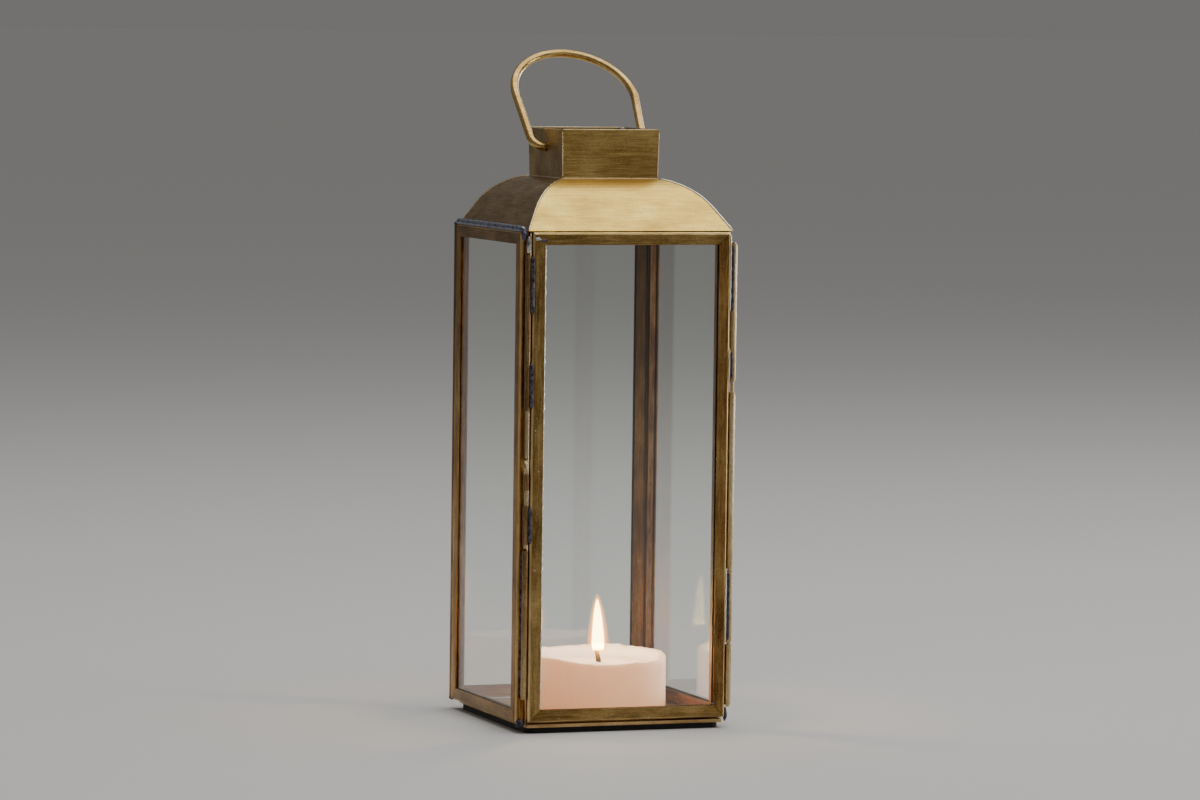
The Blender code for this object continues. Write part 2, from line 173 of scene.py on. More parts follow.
def arc(centre, radius, start, end, steps):
    """Points on a plane arc, angles in degrees, both ends included."""
    angles = [radians(start + (end - start) * step / steps) for step in range(steps + 1)]
    return [(centre[0] + radius * cos(a), centre[1] + radius * sin(a)) for a in angles]


def sweep(path, radii, sides, side_axis, flat=1.0):
    """Round section swept along a path. radii has one radius per point; flat squashes the
    section along side_axis."""
    side_axis = Vector(side_axis).normalized()
    points = [Vector(point) for point in path]
    vertices = []
    for k, point in enumerate(points):
        direction = points[min(k + 1, len(points) - 1)] - points[max(k - 1, 0)]
        across = side_axis.cross(direction.normalized()).normalized()
        for j in range(sides):
            angle = 2 * pi * j / sides
            vertices.append(point + across * cos(angle) * radii[k]
                            + side_axis * sin(angle) * radii[k] * flat)
    return vertices, stack_faces(len(points), sides)


def wobble(position, scale, seed):
    """Smooth noise from -1 to 1 at a position, which scale and seed stretch and shift."""
    return noise.noise(Vector(position) * scale + Vector((seed * 17.3, seed * 5.1, seed * 9.7)))


# ---------------------------------------------------------------- materials

def start_material(name):
    """A new material: (material, node maker, link maker, Principled shader)."""
    mat = bpy.data.materials.new(name)
    mat.use_nodes = True
    tree = mat.node_tree
    shader = tree.nodes["Principled BSDF"]

    def add(kind, **settings):
        made = tree.nodes.new(kind)
        for key, value in settings.items():
            if key in made.inputs:
                made.inputs[key].default_value = value
            else:
                setattr(made, key, value)
        return made

    return mat, add, tree.links.new, shader


def spread(add, link, vector, scale, stretch=(1, 1, 1), detail=4.0, rough=0.55):
    """A noise texture over stretched object coordinates; returns its factor socket."""
    mapping = add("ShaderNodeMapping")
    mapping.inputs["Scale"].default_value = stretch
    link(vector, mapping.inputs["Vector"])
    texture = add("ShaderNodeTexNoise")
    texture.inputs["Scale"].default_value = scale
    texture.inputs["Detail"].default_value = detail
    texture.inputs["Roughness"].default_value = rough
    link(mapping.outputs["Vector"], texture.inputs["Vector"])
    return texture.outputs["Fac"]


def ramp(add, link, factor, stops):
    """A colour ramp over (position, colour) stops; returns its colour socket."""
    made = add("ShaderNodeValToRGB")
    elements = made.color_ramp.elements
    while len(elements) < len(stops):
        elements.new(0.5)
    for element, (position, colour) in zip(elements, stops):
        element.position = position
        element.color = (*colour, 1.0)
    link(factor, made.inputs["Fac"])
    return made.outputs["Color"]


def mix(add, link, factor, low, high):
    """Mix two colour sockets or colours by a socket or number; returns the colour socket.
    The node's sockets 6 and 7 are its two colours."""
    made = add("ShaderNodeMix", data_type="RGBA")
    for socket, value in ((made.inputs["Factor"], factor), (made.inputs[6], low),
                          (made.inputs[7], high)):
        if hasattr(value, "links"):
            link(value, socket)
        elif isinstance(value, tuple):
            socket.default_value = (*value, 1.0)
        else:
            socket.default_value = value
    return made.outputs[2]


def height_of(add, link, coords):
    """The Z of a coordinate socket, in metres."""
    split = add("ShaderNodeSeparateXYZ")
    link(coords, split.inputs["Vector"])
    return split.outputs["Z"]


def remap(add, link, factor, low, high, start=0.0, end=1.0):
    """Map a socket from start..end to low..high; returns the value socket."""
    made = add("ShaderNodeMapRange")
    made.inputs["From Min"].default_value = start
    made.inputs["From Max"].default_value = end
    made.inputs["To Min"].default_value = low
    made.inputs["To Max"].default_value = high
    link(factor, made.inputs["Value"])
    return made.outputs["Result"]


def bump(add, link, shader, heights):
    """Chain bumps of (height socket, strength, distance in metres) into the shader."""
    last = None
    for height, strength, distance in heights:
        made = add("ShaderNodeBump")
        made.inputs["Strength"].default_value = strength
        made.inputs["Distance"].default_value = distance
        link(height, made.inputs["Height"])
        if last is not None:
            link(last, made.inputs["Normal"])
        last = made.outputs["Normal"]
    link(last, shader.inputs["Normal"])


def fold_highlight_mask(add, link, normal):
    """1 on rounded folds, where no object axis lies along the surface normal, 0 on flats; it places
    the painted fold highlight.
    """
    size = add("ShaderNodeVectorMath", operation="ABSOLUTE")
    link(normal, size.inputs[0])
    split = add("ShaderNodeSeparateXYZ")
    link(size.outputs["Vector"], split.inputs["Vector"])
    largest = split.outputs["X"]
    for axis in ("Y", "Z"):
        pick = add("ShaderNodeMath", operation="MAXIMUM")
        link(largest, pick.inputs[0])
        link(split.outputs[axis], pick.inputs[1])
        largest = pick.outputs["Value"]
    return remap(add, link, largest, 1.0, 0.0, 0.82, 0.985)


def brass(name, dark, middle, light, grain, roughness, stain=(0.05, 0.03, 0.015), stained=0.5,
          worn_fold_highlight=None, painted_top_shade=None):
    """Aged brass. grain holds the object axes that the brush lines run along; the fold tone is a
    painted highlight on the rounded folds, partly polish from handling; the height pair gives the
    heights between which painted shade darkens it toward the top."""
    mat, add, link, shader = start_material(name)
    place = add("ShaderNodeTexCoord")
    coords = place.outputs["Object"]

    def along(share):
        return [share if axis in grain else 1.0 for axis in range(3)]

    lines = spread(add, link, coords, 2400, along(0.03), 4.0, 0.65)
    streaks = spread(add, link, coords, 950, along(0.06), 5.0, 0.65)
    grit = spread(add, link, coords, 1500, detail=4.0, rough=0.7)
    blotch = spread(add, link, coords, 60, along(0.5), 6.0, 0.62)
    cloud = spread(add, link, coords, 16, detail=3.0)
    specks = spread(add, link, coords, 700, detail=3.0, rough=0.6)
    tone = ramp(add, link, blotch, ((0.32, dark), (0.5, middle), (0.68, light)))
    tone = mix(add, link, remap(add, link, cloud, 0.0, 0.45, 0.45, 0.7), tone, dark)
    tone = mix(add, link, remap(add, link, streaks, 0.0, 0.6, 0.48, 0.7), tone, light)
    tone = mix(add, link, remap(add, link, streaks, 0.55, 0.0, 0.32, 0.48), tone, dark)
    tone = mix(add, link, remap(add, link, grit, 0.0, 0.45, 0.52, 0.68), tone, light)
    tone = mix(add, link, remap(add, link, grit, 0.5, 0.0, 0.34, 0.46), tone, dark)
    tone = mix(add, link, remap(add, link, lines, 0.4, 0.0, 0.3, 0.6), tone, dark)
    spots = mix(add, link, remap(add, link, blotch, 0.0, stained, 0.5, 0.7), (0.0, 0.0, 0.0),
                remap(add, link, specks, 0.0, 1.0, 0.56, 0.66))
    tone = mix(add, link, spots, tone, stain)
    # painted highlight: the rounded folds are mixed toward a bright tone, partly as polish from
    # handling
    if worn_fold_highlight:
        polish_and_highlight = mix(add, link, remap(add, link, streaks, 0.35, 1.0, 0.35, 0.6), (0.0, 0.0, 0.0),
                     fold_highlight_mask(add, link, place.outputs["Normal"]))
        tone = mix(add, link, polish_and_highlight, tone, worn_fold_highlight)
    # painted shade: between the two given heights the brass darkens toward its stain colour, darker
    # toward the top
    if painted_top_shade:
        height = height_of(add, link, coords)
        tone = mix(add, link, remap(add, link, height, 0.0, 0.7, *painted_top_shade), tone, stain)
    link(tone, shader.inputs["Base Color"])
    shader.inputs["Metallic"].default_value = 1.0
    rough_low, rough_high = roughness
    link(remap(add, link, blotch, rough_high, rough_low, 0.3, 0.7), shader.inputs["Roughness"])
    bump(add, link, shader, ((lines, 0.3, 0.00005), (grit, 0.25, 0.00006), (blotch, 0.4, 0.0007)))
    return mat


def solder(name, colour, dark):
    """Dull tin solder with a dark skin in its hollows."""
    mat, add, link, shader = start_material(name)
    coords = add("ShaderNodeTexCoord").outputs["Object"]
    lumps = spread(add, link, coords, 420, detail=4.0)
    fine = spread(add, link, coords, 1800, detail=3.0)
    tone = ramp(add, link, lumps, ((0.35, dark), (0.62, colour)))
    link(tone, shader.inputs["Base Color"])
    shader.inputs["Metallic"].default_value = 1.0
    link(remap(add, link, fine, 0.3, 0.55), shader.inputs["Roughness"])
    bump(add, link, shader, ((lumps, 0.5, 0.0004), (fine, 0.3, 0.0001)))
    return mat


def glass():
    """Clear pane with the faintest dust and ripple."""
    mat, add, link, shader = start_material("clear_pane")
    coords = add("ShaderNodeTexCoord").outputs["Object"]
    ripple = spread(add, link, coords, 14, detail=1.0)
    dust = spread(add, link, coords, 160, detail=5.0, rough=0.7)
    shader.inputs["Base Color"].default_value = (0.97, 0.985, 0.975, 1.0)
    shader.inputs["Transmission Weight"].default_value = 1.0
    shader.inputs["IOR"].default_value = 1.52
    link(remap(add, link, dust, 0.0, 0.05, 0.55, 0.8), shader.inputs["Roughness"])
    bump(add, link, shader, ((ripple, 0.12, 0.0006),))
    return mat


def felt():
    """Black felt of the base pad."""
    mat, add, link, shader = start_material("black_felt")
    coords = add("ShaderNodeTexCoord").outputs["Object"]
    fibres = spread(add, link, coords, 2600, detail=3.0)
    clumps = spread(add, link, coords, 300, detail=3.0)
    tone = ramp(add, link, clumps, ((0.3, (0.003, 0.003, 0.003)), (0.7, (0.012, 0.011, 0.01))))
    link(tone, shader.inputs["Base Color"])
    shader.inputs["Roughness"].default_value = 0.95
    shader.inputs["Sheen Weight"].default_value = 0.25
    bump(add, link, shader, ((fibres, 0.7, 0.0003),))
    return mat


def candle_distance(add, link, coords, centre):
    """Distance from the candle's axis, in metres."""
    flat = add("ShaderNodeVectorMath", operation="SUBTRACT")
    flat.inputs[1].default_value = (centre[0], centre[1], 0.0)
    link(coords, flat.inputs[0])
    level = add("ShaderNodeVectorMath", operation="MULTIPLY")
    level.inputs[1].default_value = (1.0, 1.0, 0.0)
    link(flat.outputs["Vector"], level.inputs[0])
    length = add("ShaderNodeVectorMath", operation="LENGTH")
    link(level.outputs["Vector"], length.inputs[0])
    return length.outputs["Value"]


def wax(centre):
    """Pink wax: darker and scuffed on the side, pale on the rim, wet in the melted pool, with a
    painted glow from the flame that grows brighter toward the top.
    """
    mat, add, link, shader = start_material("pale_wax")
    coords = add("ShaderNodeTexCoord").outputs["Object"]
    mottle = spread(add, link, coords, 55, (1, 1, 0.6), 5.0, 0.6)
    pits = spread(add, link, coords, 420, detail=2.0)
    grainy = spread(add, link, coords, 900, detail=3.0)
    waves = spread(add, link, coords, 160, (1, 1, 2.2), 3.0)
    away = candle_distance(add, link, coords, centre)
    side = ramp(add, link, mottle, ((0.3, (0.95, 0.62, 0.42)), (0.7, (0.98, 0.74, 0.56))))
    pale = ramp(add, link, mottle, ((0.3, (0.97, 0.87, 0.81)), (0.7, (0.99, 0.94, 0.91))))
    outside = remap(add, link, away, 0.0, 1.0, 0.0352, 0.0366)
    tone = mix(add, link, outside, pale, side)
    link(mix(add, link, remap(add, link, pits, 0.0, 0.35, 0.64, 0.72), tone, (0.72, 0.45, 0.33)),
         shader.inputs["Base Color"])
    pool = remap(add, link, away, 1.0, 0.0, 0.022, 0.031)
    link(remap(add, link, pool, 0.42, 0.1), shader.inputs["Roughness"])
    # painted glow: emission rising with height stands in for the flame's light in the wax
    height = height_of(add, link, coords)
    painted_glow = remap(add, link, height, 0.62, 0.84, WAX_PAINTED_GLOW[0] * MM, WAX_PAINTED_GLOW[1] * MM)
    link(painted_glow, shader.inputs["Emission Strength"])
    shader.inputs["Emission Color"].default_value = (1.0, 0.35, 0.1, 1.0)
    shader.inputs["Subsurface Weight"].default_value = 0.8
    shader.inputs["Subsurface Radius"].default_value = (1.0, 0.5, 0.3)
    shader.inputs["Subsurface Scale"].default_value = 0.004
    bump(add, link, shader, ((waves, 0.25, 0.0007), (grainy, 0.15, 0.0001)))
    return mat


def burnt_wick():
    """Charred cotton braid."""
    mat, add, link, shader = start_material("burnt_cotton")
    coords = add("ShaderNodeTexCoord").outputs["Object"]
    fibres = spread(add, link, coords, 3000, detail=4.0)
    tone = ramp(add, link, fibres, ((0.35, (0.008, 0.005, 0.004)), (0.75, (0.07, 0.035, 0.02))))
    link(tone, shader.inputs["Base Color"])
    shader.inputs["Roughness"].default_value = 0.9
    bump(add, link, shader, ((fibres, 0.9, 0.0002),))
    return mat


def flame_body(name, stops, strength, alpha_stops):
    """Glowing gas: colour and strength follow the height inside the flame."""
    mat, add, link, shader = start_material(name)
    coords = add("ShaderNodeTexCoord").outputs["Object"]
    share = remap(add, link, height_of(add, link, coords), 0.0, 1.0, FLAME_BASE * MM,
                  (FLAME_BASE + FLAME_HEIGHT) * MM)
    colour = ramp(add, link, share, stops)
    shader.inputs["Base Color"].default_value = (0.0, 0.0, 0.0, 1.0)
    shader.inputs["Roughness"].default_value = 1.0
    shader.inputs["Specular IOR Level"].default_value = 0.0
    link(colour, shader.inputs["Emission Color"])
    shader.inputs["Emission Strength"].default_value = strength
    alpha = ramp(add, link, share, [(at, (value, value, value)) for at, value in alpha_stops])
    link(alpha, shader.inputs["Alpha"])
    return mat


# ---------------------------------------------------------------- candle

def candle_centre():
    """The candle's axis as (x, y) in millimetres."""
    low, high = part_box("candle_wax")
    return (low.x + high.x) / 2 / MM, (low.y + high.y) / 2 / MM


def candle_profile():
    """Candle outline from foot to pool centre, as (radius share, height, wobble share)."""
    side = [(0.955, CANDLE_FOOT, 0.0), (0.985, CANDLE_FOOT + 0.4, 0.0),
            (1.0, CANDLE_FOOT + 1.6, 0.0), (1.0, 10.0, 0.1), (1.0, 16.0, 0.15), (1.0, 22.0, 0.3),
            (1.0, 27.0, 0.6), (1.0, CANDLE_RIM - 2.4, 0.9), (0.998, CANDLE_RIM - 0.9, 1.0),
            (0.99, CANDLE_RIM - 0.25, 1.0), (0.975, CANDLE_RIM, 1.0)]
    inside = [(0.925, CANDLE_RIM - 0.15, 1.0), (0.9, CANDLE_RIM - 0.9, 0.9),
              (0.87, CANDLE_RIM - 2.0, 0.75), (0.83, CANDLE_RIM - 3.3, 0.5),
              (0.78, CANDLE_RIM - 4.4, 0.25), (0.72, CANDLE_POOL + 0.15, 0.08),
              (0.62, CANDLE_POOL, 0.0), (0.45, CANDLE_POOL, 0.0), (0.28, CANDLE_POOL, 0.0),
              (0.14, CANDLE_POOL + 0.05, 0.0), (0.06, CANDLE_POOL + 0.35, 0.0),
              (0.033, CANDLE_POOL + 0.8, 0.0)]
    return side + inside


def rim_wave(angle):
    """Uneven melting of the rim: low toward the front, with a few soft waves."""
    return RIM_TILT * sin(angle) + 0.4 * sin(2 * angle + 0.8) + 0.35 * sin(5 * angle + 2.1)


def make_candle(mat, centre):
    """Pillar candle with a worn side, an uneven melted rim and a flat pool."""
    vertices = []
    for share, height, wave_share in candle_profile():
        for k in range(CANDLE_SIDES):
            angle = 2 * pi * k / CANDLE_SIDES
            direction = Vector((cos(angle), sin(angle), 0))
            ripple = 0.22 * wobble(direction * 30 + Vector((0, 0, height)), 0.22, 3)
            reach = CANDLE_RADIUS * share + wave_share * (0.25 * sin(3 * angle + 0.5)) + ripple
            chips = 0.6 * wobble(direction * 30, 0.3, 5) + 0.3 * wobble(direction * 30, 0.9, 6)
            rise = wave_share * (rim_wave(angle) + chips)
            vertices.append((centre[0] + reach * direction.x, centre[1] + reach * direction.y,
                             height + rise))
    rows = len(vertices) // CANDLE_SIDES
    obj = make_piece("candle", vertices, stack_faces(rows, CANDLE_SIDES), mat, "case", "wax")
    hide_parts("candle_wax")


def wick_path(centre):
    """Centre line of the wick, curling over at its tip."""
    points = []
    for k in range(WICK_STEPS + 1):
        share = k / WICK_STEPS
        height = CANDLE_POOL - 2.0 + share * 9.0
        lean = -1.9 * max(0.0, share - 0.25) ** 1.3
        points.append(Vector((centre[0] + 0.4 + lean, centre[1], height)))
    return points


def make_wick(mat, centre):
    """Three twisted strands, thinned by burning at the tip."""
    vertices = []
    faces = []
    path = wick_path(centre)
    for strand in range(3):
        turned = []
        for k, point in enumerate(path):
            angle = 2 * pi * strand / 3 + k * 0.55
            turned.append(point + Vector((cos(angle), sin(angle), 0)) * WICK_RADIUS * 0.5)
        radii = [WICK_RADIUS * 0.55 * (1.0 - 0.35 * (k / WICK_STEPS) ** 3)
                 for k in range(WICK_STEPS + 1)]
        strand_vertices, strand_faces = sweep(turned, radii, 10, (0, 1, 0))
        start = len(vertices)
        vertices += strand_vertices
        faces += [tuple(index + start for index in face) for face in strand_faces]
    obj = make_piece("wick", vertices, faces, mat, "case", "wick")
    obj.visible_shadow = False
    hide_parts("candle_wick")


def flame_shape(centre, extra):
    """A tall round-shouldered gas body, drawn in at its foot. extra widens and lengthens it."""
    sides = 32
    rows = 34
    height = FLAME_HEIGHT + 1.5 * extra
    vertices = []
    for row in range(rows):
        share = 0.002 + 0.994 * row / (rows - 1)
        foot = min(1.0, 0.2 + 0.8 * sqrt(share / 0.26))
        width = (FLAME_RADIUS + extra) * (1.0 - share ** 2) ** 0.62 * (1.0 - 0.12 * share) * foot
        lean = -0.9 * share ** 1.5
        for k in range(sides):
            angle = 2 * pi * k / sides
            vertices.append((centre[0] + lean + width * cos(angle), centre[1] + width * sin(angle),
                             FLAME_BASE - 0.4 * extra + height * share))
    return vertices, stack_faces(rows, sides)


def make_flame(centre):
    """A white-hot core inside thin orange shells."""
    core = flame_body(
        "flame_core",
        ((0.0, (0.9, 0.3, 0.05)), (0.15, (1.0, 0.5, 0.1)), (0.3, (1.0, 0.86, 0.36)),
         (0.75, (1.0, 0.86, 0.36)), (1.0, (1.0, 0.6, 0.14))),
        FLAME_POWER, ((0.0, 0.0), (0.16, 0.01), (0.31, 1.0)))
    pieces = [make_piece("flame_core", *flame_shape(centre, 0.0), core, "case")]
    for k, (extra, opacity) in enumerate(HALO_SHELLS):
        shell = flame_body(f"flame_shell_{k}", ((0.0, (1.0, 0.28, 0.04)), (1.0, (1.0, 0.44, 0.07))),
                           6.0 - k, ((0.08, 0.0), (0.32, opacity), (1.0, opacity * 0.7)))
        shape = flame_shape(centre, extra)
        pieces.append(make_piece(f"flame_shell_{k}", *shape, shell, "case"))
    for piece in pieces:
        piece.visible_diffuse = False
        piece.visible_shadow = False


# ---------------------------------------------------------------- bail

def handle_side(taper):
    """Half of the bail's centre line, from its end to its top, as (across, up)."""
    bend = HANDLE_FOOT_BEND
    shoulder = HANDLE_HEIGHT - HANDLE_HALF
    half = [(HANDLE_END, 0.0), (HANDLE_END + 3.0, 0.0)]
    half += arc((HANDLE_HALF - bend, bend), bend, -90, 0, 12)
    half += [(HANDLE_HALF, bend + (shoulder - bend) * k / 6) for k in range(1, 6)]
    half += arc((0.0, shoulder), HANDLE_HALF, 0, 90, 36)
    return [(across - taper * min(1.0, up / bend) * max(0.0, 1.0 - up / shoulder), up)
            for across, up in half]


def make_handle(mat):
    """The bail as a finer wire with the slight unevenness of hand bending."""
    plain = handle_side(0.0)
    flat_path = handle_side(HANDLE_TAPER) + [(-across, up) for across, up in reversed(plain[:-1])]
    lean = radians(HANDLE_LEAN)
    up_axis = Vector((0, sin(lean), cos(lean)))
    pivot = Vector((0, 0, PIVOT_Z))
    path = [pivot + Vector((across, 0, 0)) + up_axis * up for across, up in flat_path]
    radii = [HANDLE_RADIUS * (1.0 + 0.02 * wobble(point, 0.12, 8)) for point in path]
    shape = sweep(path, radii, 28, Vector((1, 0, 0)).cross(up_axis))
    obj = make_piece("bail", *shape, mat, "handle", "handle_brass")
    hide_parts("handle")


# ---------------------------------------------------------------- solder

def resample(path, spacing):
    """Evenly spaced points on a polyline, at most the given distance apart."""
    points = [Vector(point) for point in path]
    lengths = [(b - a).length for a, b in zip(points, points[1:])]
    count = max(8, ceil(sum(lengths) / spacing))
    step = sum(lengths) / count
    spaced = []
    index = 0
    passed = 0.0
    for k in range(count + 1):
        along = min(k * step, sum(lengths))
        while index < len(lengths) - 1 and along > passed + lengths[index]:
            passed += lengths[index]
            index += 1
        share = min(1.0, (along - passed) / lengths[index])
        spaced.append(points[index].lerp(points[index + 1], share))
    return spaced


def make_bead(name, path, radius, mat, body, seed, side_axis=(0, 1, 0), flat=1.0, lumpy=0.3):
    """A bead of solder along a path, lumpy and pinched at its ends."""
    points = resample(path, BEAD_STEP)
    radii = []
    for k, point in enumerate(points):
        end = min(k, len(points) - 1 - k)
        taper = min(1.0, 0.35 + 0.3 * end)
        radii.append(radius * taper * (1.0 + lumpy * wobble(point, 0.35, seed)
                                       + 0.6 * lumpy * wobble(point, 0.9, seed + 1)))
    make_piece(name, *sweep(points, radii, BEAD_SIDES, side_axis, flat), mat, body)


def make_blob(name, centre, size, mat, body, seed):
    """A frozen lump of solder with the given half sizes."""
    rows = 12
    sides = 20
    vertices = []
    for row in range(rows):
        polar = pi * (row + 0.5) / rows
        for k in range(sides):
            angle = 2 * pi * k / sides
            direction = Vector((sin(polar) * cos(angle), sin(polar) * sin(angle), -cos(polar)))
            swell = 1.0 + 0.35 * wobble(direction * 1.6, 1.0, seed)
            vertices.append(Vector(centre) + Vector([d * h * swell for d, h in zip(direction, size)]))
    make_piece(name, vertices, stack_faces(rows, sides), mat, body)


def roof_half(side, rise):
    """Half-width of a roof side's outer face at a rise above the eave."""
    eave, eave_slope = side
    slope = radians(eave_slope)
    top = radians(ROOF_TOP_SLOPE)
    arc_rise = (cos(top) - cos(slope)) / (sin(slope) - sin(top))
    knee = (ROOF_RISE - eave * tan(slope) + COLLAR_HALF * arc_rise) / (arc_rise - tan(slope))
    radius = (knee - COLLAR_HALF) / (sin(slope) - sin(top))
    straight = (eave - knee) * tan(slope)
    if rise <= straight:
        return eave - rise / tan(slope)
    angle = acos(cos(slope) + (rise - straight) / radius)
    return knee - radius * (sin(slope) - sin(angle))


def hip_path(turn):
    """The hip between a roof side and the next one round, with its outward direction."""
    here = ROOF_SIDES[turn]
    after = ROOF_SIDES[(turn + 1) % 4]
    quarter = Matrix.Rotation(turn * pi / 2, 3, "Z")
    steps = 24
    path = []
    for step in range(steps + 1):
        rise = ROOF_RISE * sin(pi / 2 * step / steps)
        point = Vector((roof_half(after, rise), -roof_half(here, rise), ROOF_BASE + rise))
        path.append(quarter @ point)
    return path, quarter @ Vector((1, -1, 0))


def solder_hips(trim_and_highlight, bright_highlight):
    """Seams on the four hips; the front right one is bright brass, a painted highlight."""
    for turn, name in enumerate(("front_right", "back_right", "back_left", "front_left")):
        path, outward = hip_path(turn)
        make_bead(f"hip_seam_{name}", path, 0.5, bright_highlight if turn == 0 else trim_and_highlight, "case", 20 + turn,
                  (outward.y, -outward.x, 0))


def solder_chimney_foot(trim_and_highlight):
    """The seam round the foot of the chimney."""
    reach = COLLAR_HALF - 0.1
    level = ROOF_BASE + ROOF_RISE + 0.1
    corners = [(x * reach, y * reach, level) for x, y in SQUARE]
    for k, name in enumerate(("right", "back", "left", "front")):
        make_bead(f"collar_seam_{name}", (corners[k], corners[(k + 1) % 4]), 0.45, trim_and_highlight, "case",
                  30 + k, (0, 0, 1))


def solder_eaves(band):
    """Wide soldered bands along the left and back eaves."""
    ledge = CASE_HALF - 2.0
    level = ROOF_BASE + 0.7
    make_bead("eave_solder_left", ((-ledge, -54.5, level), (-ledge, 57.0, level)), 2.1, band,
              "case", 41, (0, 0, 1), flat=0.85, lumpy=0.14)
    make_bead("eave_solder_back", ((-ledge + 1, ledge, level), (54.0, ledge, level)), 2.1, band,
              "case", 42, (0, 0, 1), flat=0.85, lumpy=0.24)


def paint_chimney_highlights(trim_and_highlight):
    """Painted highlight lines on the rim and the upright corners of the chimney."""
    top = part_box("chimney")[1] / MM
    rim_reach = top.x - 0.2
    foot_reach = COLLAR_HALF - 0.3
    foot_level = ROOF_BASE + ROOF_RISE + 0.5
    rim = [(x * rim_reach, y * rim_reach, top.z) for x, y in SQUARE]
    foot = [(x * foot_reach, y * foot_reach, foot_level) for x, y in SQUARE]
    for k in range(4):
        make_bead(f"rim_line_{k}", (rim[k], rim[(k + 1) % 4]), 0.3, trim_and_highlight, "case", 34 + k,
                  (0, 0, 1))
        make_bead(f"collar_corner_{k}", (foot[k], rim[k]), 0.28, trim_and_highlight, "case", 38 + k,
                  (1, 0, 0))


def solder_corners(bright, dull):
    """Lumps where the case frames, the roof and the floor plate meet."""
    lumps = (
        ("front_left_top", (-58.3, -56.4, 267.6), (1.8, 2.0, 3.2), dull),
        ("front_left_drip", (-56.4, -57.7, 262.0), (1.1, 1.3, 5.0), bright),
        ("front_left_low", (-57.6, -56.4, 5.6), (2.3, 1.9, 2.2), dull),
        ("front_right_top", (59.0, -56.6, 266.6), (1.2, 1.6, 2.2), dull),
        ("front_right_low", (59.6, -56.9, 7.4), (1.3, 1.5, 3.4), dull),
        ("back_left_top", (-58.2, 58.0, 268.8), (2.2, 2.4, 1.3), dull),
        ("back_left_low", (-58.4, 58.2, 6.2), (1.9, 2.1, 1.5), dull),
        ("back_right_top", (58.0, 58.6, 268.6), (2.0, 1.6, 1.3), dull),
        ("collar_inside", (26.0, 26.0, 321.2), (1.5, 1.5, 2.2), bright),
    )
    for seed, (name, centre, size, mat) in enumerate(lumps):
        make_blob(f"solder_{name}", centre, size, mat, "case", 50 + seed)


def door_frame():
    """The door frame's left, right and front in millimetres."""
    left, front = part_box("door_stile_latch")[0].xy / MM
    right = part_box("door_stile_hinge")[1].x / MM
    return left, right, front


def solder_door(dull):
    """Seams between the door and the tubes that it carries."""
    left, right, front = door_frame()
    seams = (("latch_top", left + 0.1, 1.25, 225.0, 256.0),
             ("latch_middle", left + 0.1, 1.25, 174.5, 199.0),
             ("latch_lower", left + 0.1, 1.25, 102.5, 122.0),
             ("hinge_top", right + 1.15, 0.85, 226.0, 262.0),
             ("hinge_middle", right + 1.0, 0.8, 189.0, 204.0),
             ("hinge_lower", right + 1.15, 0.85, 47.5, 84.5))
    for seed, (name, x, radius, start, end) in enumerate(seams):
        make_bead(f"seam_{name}", ((x, front + 0.5, start), (x, front + 0.5, end)), radius, dull,
                  "door", seed, flat=0.8, lumpy=0.16)


def spot_door(bright, dull, bright_highlight):
    """The lumps at the door's corners and the crumbled bright line along its glass, partly solder and
    partly a painted highlight of the channel's inner edge.
    """
    low, high = (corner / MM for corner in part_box("door_pane"))
    left, right, front = door_frame()
    make_blob("door_corner_solder", (left + 2.9, front + 0.4, 265.4), (1.7, 0.8, 1.1), bright,
              "door", 70)
    make_blob("door_corner_smear", (left + 6.2, front + 0.5, 264.4), (2.6, 0.8, 1.3), dull,
              "door", 71)
    # painted highlight along the glass, in the bright highlight brass
    line = left + CHANNEL_FACE + 0.15
    make_bead("glass_line", ((line, front + 0.3, low.z + 6.5), (line, front + 0.3, high.z - 6.5)),
              0.34, bright_highlight, "door", 11, lumpy=1.0)
    make_blob("door_low_corner_solder", (right - 6.6, front + 0.6, low.z + 6.4), (1.5, 0.7, 1.2),
              dull, "door", 72)


def paint_door_highlights(bright, bright_highlight, top_edge_highlight):
    """Painted highlight lines by the hinge and along the door's top, and spatter on the latch stile.
    """
    left, right, front = door_frame()
    edge = right - 0.35
    for k, (start, end) in enumerate(((226.0, 267.5), (188.0, 206.0), (47.0, 86.0))):
        make_bead(f"door_edge_shine_{k}", ((edge, front + 0.45, start), (edge, front + 0.45, end)),
                  0.48, bright_highlight, "door", 90 + k)
    top = (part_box("door_pane")[1] / MM).z + 0.1
    make_bead("door_top_shine", ((left + 2.0, front + 1.0, top), (right - 1.6, front + 1.0, top)),
              0.8, top_edge_highlight, "door", 99, lumpy=0.12)
    for k, (x, z) in enumerate(((3.2, 169.5), (2.4, 163.0), (4.6, 141.0), (3.0, 88.0))):
        make_blob(f"door_spatter_{k}", (left + x, front + 0.15, z), (0.4, 0.3, 0.45), bright,
                  "door", 80 + k)


def paint_hinge_highlights(bright_highlight):
    """A painted highlight line down the outer side of each hinge tube."""
    for k, name in enumerate(("hinge_tube_door_upper", "hinge_tube_frame_upper",
                              "hinge_tube_door_lower", "hinge_tube_frame_lower")):
        low, high = (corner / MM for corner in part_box(name))
        x = high.x - 0.35
        y = low.y + TUBE_RADIUS - 0.5
        make_bead(f"{name}_shine", ((x, y, low.z + 0.6), (x, y, high.z - 0.6)), 0.4, bright_highlight,
                  "door" if "door" in name else "case", 95 + k, lumpy=0.15)


def solder_tubes(dull):
    """Seams between the case and the tubes that it carries."""
    seam_y = -55.0
    for name, side, seed in (("hinge_tube_frame_upper", -1, 5), ("hinge_tube_frame_lower", -1, 6),
                             ("latch_keeper", 1, 7)):
        low, high = (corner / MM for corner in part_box(name))
        x = high.x - 1.3 if side < 0 else low.x + 0.6
        make_bead(f"{name}_solder", ((x, seam_y, low.z + 1.0), (x, seam_y, high.z - 1.0)), 0.75,
                  dull, "case", seed, lumpy=0.25)


